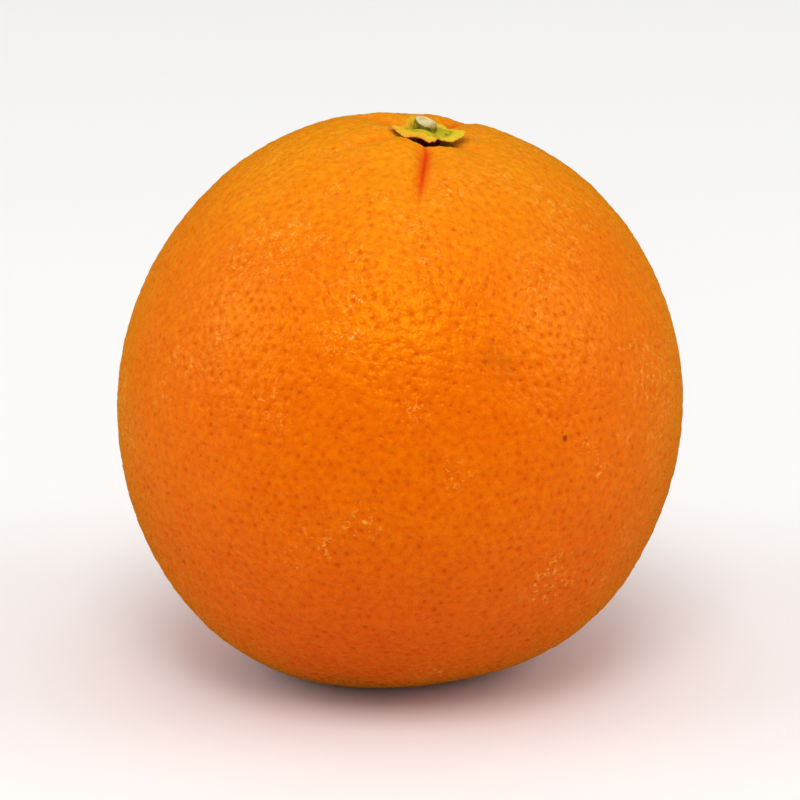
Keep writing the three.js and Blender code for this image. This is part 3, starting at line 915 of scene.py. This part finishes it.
# How high the disc stands against the stem stub, round the same turn
CALYX_COLLAR = [
    (5, 0.1), (60, 0.05), (130, 0.2), (165, 0.0), (180, -0.1), (212, 0.28), (231, 0.39),
    (248, 0.4), (265, 0.24), (286, -0.04), (306, -0.3), (322, -0.05), (341, 0.12),
]
CALYX_TURNS = 240
CALYX_RINGS = 34
basin_floor = fruit_radius(STEM_UP[None, :])[0]
calyx_under = basin_floor + CALYX["gap"] + CALYX["neck"]
calyx_top = calyx_under + CALYX["thick"]


def from_stem_frame(across, side, up):
    """Points given across, beside and along the stem's axis, from the fruit's centre."""
    points = np.outer(across, STEM_ACROSS) + np.outer(side, STEM_SIDE) + np.outer(up, STEM_UP)
    return points + np.array(fruit_centre)


def all_round(azimuth, stations, column, ease):
    """A value read off stations set round a full turn, eased over this many degrees."""
    marks = np.array([station[0] for station in stations], float)
    values = np.array([station[column] for station in stations], float)
    fine = np.arange(-360, 720)
    marks = np.concatenate([marks - 720, marks - 360, marks, marks + 360, marks + 720])
    spread = np.interp(fine, marks, np.tile(values, 5))
    window = bell(np.arange(-3 * ease, 3 * ease + 1), ease)
    return np.interp(azimuth % 360, fine, np.convolve(spread, window / window.sum(), "same"))


def ripple(azimuth, counts, seed):
    """An uneven wave round the turn, between about -1 and 1."""
    phases = np.random.default_rng(seed).uniform(0, 2 * math.pi, len(counts))
    waves = [np.sin(np.radians(azimuth) * count + phase) for count, phase in zip(counts, phases)]
    return np.sum(waves, axis=0) / math.sqrt(len(counts))


turns = np.arange(CALYX_TURNS) * 360 / CALYX_TURNS
calyx_reach = (all_round(turns, CALYX_RIM, 1, 3) + 0.06 * ripple(turns, (23, 31, 47), 12)) * MM
calyx_rise = all_round(turns, CALYX_RIM, 2, 3) * MM
calyx_collar = all_round(turns, CALYX_COLLAR, 1, 6) * MM


def calyx_upper(share):
    """Heights of the upper side above the disc at a share of the way out: it arches over
    from the collar to the edge, with a shallow groove outside the collar and fine crumples."""
    height = calyx_collar + (calyx_rise - calyx_collar) * share ** 1.7
    groove = -0.1 * bell(share - 0.42, 0.10) + 0.07 * bell(share - 0.68, 0.14)
    crumple = 0.05 * ripple(turns, (9, 14, 19, 27), 3)
    crumple += 0.04 * ripple(turns + 25 * share, (11, 23, 37), 8)
    return height + (groove + crumple * smooth_step(share, 0.1, 0.6)) * MM


calyx_points = []
calyx_layers = []


def add_calyx_ring(out, up, share, under):
    across = out * np.cos(np.radians(turns))
    side = out * np.sin(np.radians(turns))
    calyx_points.append(from_stem_frame(across, side, up))
    calyx_layers.append((share, under))


collar = np.full(CALYX_TURNS, CALYX["collar"])
for share in (0.25, 0.5, 0.75):
    add_calyx_ring(collar * share, calyx_top + calyx_collar * share, 0.0, 0)
for share in np.linspace(0, 1, CALYX_RINGS):
    out = collar + (calyx_reach - collar) * share
    add_calyx_ring(out, calyx_top + calyx_upper(share), share, 0)
for share in np.linspace(1, 0.1, CALYX_RINGS):
    out = collar + (calyx_reach - collar) * share - CALYX["undercut"] * (share == 1)
    thick = CALYX["edge"] + (CALYX["thick"] - CALYX["edge"]) * (1 - smooth_step(share, 0.0, 0.7))
    add_calyx_ring(out, calyx_top + calyx_upper(share) - thick, share, 1)
for drop in (0.0, 0.3, 0.7, 1.0):
    up = np.full(CALYX_TURNS, calyx_under - CALYX["neck"] * drop)
    narrowing = 1 + (CALYX["foot"] / CALYX["collar"] - 1) * drop
    add_calyx_ring(np.full(CALYX_TURNS, CALYX["collar"] * narrowing), up, 0.0, 1)

rings = len(calyx_points)
calyx_points = list(np.concatenate(calyx_points))
calyx_faces = []
for ring in range(rings - 1):
    for turn in range(CALYX_TURNS):
        after = (turn + 1) % CALYX_TURNS
        calyx_faces.append((ring * CALYX_TURNS + turn, (ring + 1) * CALYX_TURNS + turn,
                            (ring + 1) * CALYX_TURNS + after, ring * CALYX_TURNS + after))
top_centre = len(calyx_points)
calyx_points.append(from_stem_frame([0], [0], [calyx_top])[0])
calyx_points.append(from_stem_frame([0], [0], [calyx_under - CALYX["neck"]])[0])
last = (rings - 1) * CALYX_TURNS
for turn in range(CALYX_TURNS):
    after = (turn + 1) % CALYX_TURNS
    calyx_faces.append((top_centre, turn, after))
    calyx_faces.append((top_centre + 1, last + after, last + turn))


# A dark speck, a brown patch of painted shade at the notch between the front lobes and a peach stain
CALYX_MARKS = [
    {"azimuth": 330, "out": 2.6 * MM, "radius": 0.35 * MM, "softness": 0.6, "share": 0.8,
     "colour": (0.10, 0.12, 0.006, 1)},
    {"azimuth": 292, "out": 2.6 * MM, "radius": 0.7 * MM, "softness": 0.8, "share": 0.7,
     "colour": (0.30, 0.16, 0.01, 1)},
    {"azimuth": 208, "out": 3.4 * MM, "radius": 0.5 * MM, "softness": 0.8, "share": 0.4,
     "colour": (0.80, 0.34, 0.03, 1)},
]


# The dark foot colour is painted shade under the disc, fading out to the lobes' own reddish brown
# underneath; the groove colour is painted shade
CALYX_TINTS = {
    "middle": (0.52, 0.45, 0.006, 1), "right lobes": (0.78, 0.56, 0.010, 1),
    "left lobes": (0.82, 0.48, 0.006, 1), "groove": (0.62, 0.62, 0.5, 1), "edge": (0.85, 0.34, 0.045, 1),
    "foot": (0.15, 0.02, 0.002, 1), "under lobes": (0.42, 0.13, 0.012, 1), "grain": (0.78, 0.72, 0.4, 1),
}


def build_calyx_material():
    """Chartreuse in the middle, golden towards the lobes' peach edges, reddish brown underneath, with
    painted shade in the groove, at the foot and at the notch between the front lobes.
    """
    material, tree = new_material("withered_calyx")
    place = add_node(tree, "ShaderNodeTexCoord").outputs["Object"]
    blotches, grain = mottle(tree, place, 1.6 * MM, 0.22 * MM)
    share = kept(tree, "lobe_share")["Fac"]
    under = kept(tree, "underside")["Fac"]
    left = kept(tree, "left_share")["Fac"]
    ragged = calc(tree, "MULTIPLY_ADD", calc(tree, "SUBTRACT", blotches, 0.5), 0.35, share)
    gold = fade(tree, ragged, 0.2, 0.6)
    lobes = blend(tree, left, CALYX_TINTS["right lobes"], CALYX_TINTS["left lobes"])
    colour = blend(tree, gold, CALYX_TINTS["middle"], lobes)
    # Painted shade darkens the groove outside the collar
    off_groove = calc(tree, "ABSOLUTE", calc(tree, "SUBTRACT", share, 0.36))
    groove = calc(tree, "MULTIPLY", fade(tree, off_groove, 0.0, 0.14, 1.0, 0.0), 0.6)
    colour = blend(tree, groove, colour, CALYX_TINTS["groove"], "MULTIPLY")
    rim = calc(tree, "MULTIPLY", fade(tree, ragged, 0.8, 1.0), fade(tree, left, 0.0, 1.0, 0.35, 0.8))
    colour = blend(tree, rim, colour, CALYX_TINTS["edge"])
    # Painted shade: the underside darkens to the foot under the disc, out to the lobes' own reddish
    # brown
    out_of_foot_shade = fade(tree, share, 0.45, 1.0)
    underside_and_painted_shade = blend(tree, out_of_foot_shade, CALYX_TINTS["foot"], CALYX_TINTS["under lobes"])
    colour = blend(tree, under, colour, underside_and_painted_shade)
    grained = calc(tree, "MULTIPLY", grain, 0.35)
    colour = blend(tree, grained, colour, CALYX_TINTS["grain"], "MULTIPLY")
    for mark in CALYX_MARKS:
        turn = math.radians(mark["azimuth"])
        out = np.array([mark["out"]])
        middle = from_stem_frame(out * math.cos(turn), out * math.sin(turn), [calyx_top])[0]
        spot = blemish(tree, place, middle, mark["radius"], mark["softness"], 0.6)
        colour = blend(tree, calc(tree, "MULTIPLY", spot, mark["share"]), colour, mark["colour"])
    raised = calc(tree, "MULTIPLY", grain, 0.03)
    bump = add_node(tree, "ShaderNodeBump", {"Height": raised, "Distance": MM})
    finish_material(tree, Base_Color=colour, Roughness=0.55, Normal=bump.outputs["Normal"],
                    Specular_IOR_Level=0.2)
    return material


calyx_material = build_calyx_material()
calyx = new_piece("calyx_star", calyx_points, calyx_faces, calyx_material)
layer_share = np.repeat([share for share, _ in calyx_layers], CALYX_TURNS)
layer_under = np.repeat([under for _, under in calyx_layers], CALYX_TURNS)
store(calyx.data, "lobe_share", "POINT", np.append(layer_share, [0.0, 0.0]))
store(calyx.data, "underside", "POINT", np.append(layer_under, [0.0, 1.0]))
leftwards = (np.array(calyx_points) - np.array(fruit_centre)) @ STEM_ACROSS
store(calyx.data, "left_share", "POINT", 1 - smooth_step(leftwards, -3.5 * MM, 2.5 * MM))
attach(calyx, "root")
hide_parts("calyx")

# ---------------------------------------------------------------- The stem stub
# What is left of the woody stem: a short stub grown out of the middle of the calyx,
# snipped at a slant, its cut face pale and drying brown along the lower rim.

STUB = {"base": 1.8 * MM, "top": 1.52 * MM, "height": 1.15 * MM, "slope": 18, "azimuth": 318,
        "off_centre": -0.6 * MM, "sunk": 0.6 * MM, "rim": 0.14 * MM, "dish": 0.08 * MM}
STUB_TURNS = 72
STUB_RINGS = 14
stub_turns = np.arange(STUB_TURNS) * 360 / STUB_TURNS
stub_points = []
stub_layers = []
stub_low = calyx_top - STUB["sunk"]
lean = math.tan(math.radians(STUB["slope"]))


def cut_height(across, side):
    """How high the slanting cut stands at a place on the stub."""
    cut = math.radians(STUB["azimuth"])
    down_slope = (across - STUB["off_centre"]) * math.cos(cut) + side * math.sin(cut)
    return calyx_top + STUB["height"] - down_slope * lean


def add_stub_ring(out, up_share, face):
    """A ring of corners round the stub: at a share of the way up, or offset from the cut."""
    across = STUB["off_centre"] + out * np.cos(np.radians(stub_turns))
    side = out * np.sin(np.radians(stub_turns))
    top = cut_height(across, side)
    up = stub_low + (top - stub_low) * up_share if np.isscalar(up_share) else top + up_share
    stub_points.append(from_stem_frame(across, side, up))
    stub_layers.append(face)


bark = 0.055 * ripple(stub_turns, (5, 9, 15, 22), 21) * MM
for share in np.linspace(0, 0.93, STUB_RINGS):
    flare = STUB["top"] + (STUB["base"] - STUB["top"]) * (1 - share) ** 2
    add_stub_ring(flare + bark * (1 - 0.4 * share), float(share), 0.0)
for step in range(1, 5):
    angle = step * math.pi / 8
    out = STUB["top"] + bark * 0.5 - STUB["rim"] * (1 - math.cos(angle))
    add_stub_ring(out, np.full(STUB_TURNS, -STUB["rim"] * (1 - math.sin(angle))), step / 4)
face_wave = 0.03 * MM * ripple(stub_turns, (3, 5, 8), 30)
for share in np.linspace(0.9, 0.1, 9):
    out = (STUB["top"] - STUB["rim"]) * share + bark * 0.3 * share
    dish = -STUB["dish"] * (1 - share ** 2)
    add_stub_ring(out, dish + face_wave * share * (1 - share), 1.0)
rings = len(stub_points)
stub_points = list(np.concatenate(stub_points))
stub_faces = []
for ring in range(rings - 1):
    for turn in range(STUB_TURNS):
        after = (turn + 1) % STUB_TURNS
        stub_faces.append((ring * STUB_TURNS + turn, ring * STUB_TURNS + after,
                           (ring + 1) * STUB_TURNS + after, (ring + 1) * STUB_TURNS + turn))
middle_up = cut_height(STUB["off_centre"], 0.0) - STUB["dish"]
stub_points.append(from_stem_frame([STUB["off_centre"]], [0], [middle_up])[0])
stub_points.append(from_stem_frame([STUB["off_centre"]], [0], [stub_low])[0])
last = (rings - 1) * STUB_TURNS
for turn in range(STUB_TURNS):
    after = (turn + 1) % STUB_TURNS
    stub_faces.append((len(stub_points) - 2, last + turn, last + after))
    stub_faces.append((len(stub_points) - 1, after, turn))


STUB_TINTS = {
    "bark dark": (0.15, 0.12, 0.002, 1), "bark light": (0.38, 0.30, 0.012, 1),
    "bark grain": (0.5, 0.45, 0.3, 1), "wood dark": (0.62, 0.50, 0.17, 1),
    "wood light": (0.84, 0.74, 0.44, 1), "wood grain": (0.75, 0.66, 0.45, 1),
    "dried": (0.26, 0.15, 0.016, 1),
}


def build_stub_material():
    """Cream cut wood with brown drying at its rim, and olive bark round its side."""
    material, tree = new_material("cut_stem")
    place = add_node(tree, "ShaderNodeTexCoord").outputs["Object"]
    blotches, grain = mottle(tree, place, 1.0 * MM, 0.16 * MM)
    face = kept(tree, "cut_face")["Fac"]
    lower_side = kept(tree, "lower_side")["Fac"]
    bark = blend(tree, blotches, STUB_TINTS["bark dark"], STUB_TINTS["bark light"])
    bark_grain = calc(tree, "MULTIPLY", grain, 0.4)
    bark = blend(tree, bark_grain, bark, STUB_TINTS["bark grain"], "MULTIPLY")
    wood = blend(tree, blotches, STUB_TINTS["wood dark"], STUB_TINTS["wood light"])
    wood_grain = calc(tree, "MULTIPLY", grain, 0.35)
    wood = blend(tree, wood_grain, wood, STUB_TINTS["wood grain"], "MULTIPLY")
    wandering = calc(tree, "ADD", calc(tree, "MULTIPLY", grain, 0.5),
                     calc(tree, "MULTIPLY", blotches, 0.5))
    drying = fade(tree, calc(tree, "ADD", lower_side, wandering), 0.75, 1.3)
    wood = blend(tree, calc(tree, "MULTIPLY", drying, 0.8), wood, STUB_TINTS["dried"])
    colour = blend(tree, face, bark, wood)
    raised = calc(tree, "MULTIPLY", grain, 0.04)
    bump = add_node(tree, "ShaderNodeBump", {"Height": raised, "Distance": MM})
    finish_material(tree, Base_Color=colour, Roughness=0.7, Normal=bump.outputs["Normal"],
                    Specular_IOR_Level=0.2)
    return material


stub_material = build_stub_material()
stub = new_piece("stem_stub_cut", stub_points, stub_faces, stub_material)
store(stub.data, "cut_face", "POINT", np.append(np.repeat(stub_layers, STUB_TURNS), [1.0, 0.0]))
stub_array = np.array(stub_points)
down_hill = (stub_array - stub_array[-2]) @ (STEM_ACROSS * 0.8 - STEM_SIDE * 0.6) / STUB["top"]
store(stub.data, "lower_side", "POINT", down_hill)
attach(stub, "root")
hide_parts("stem_stub")
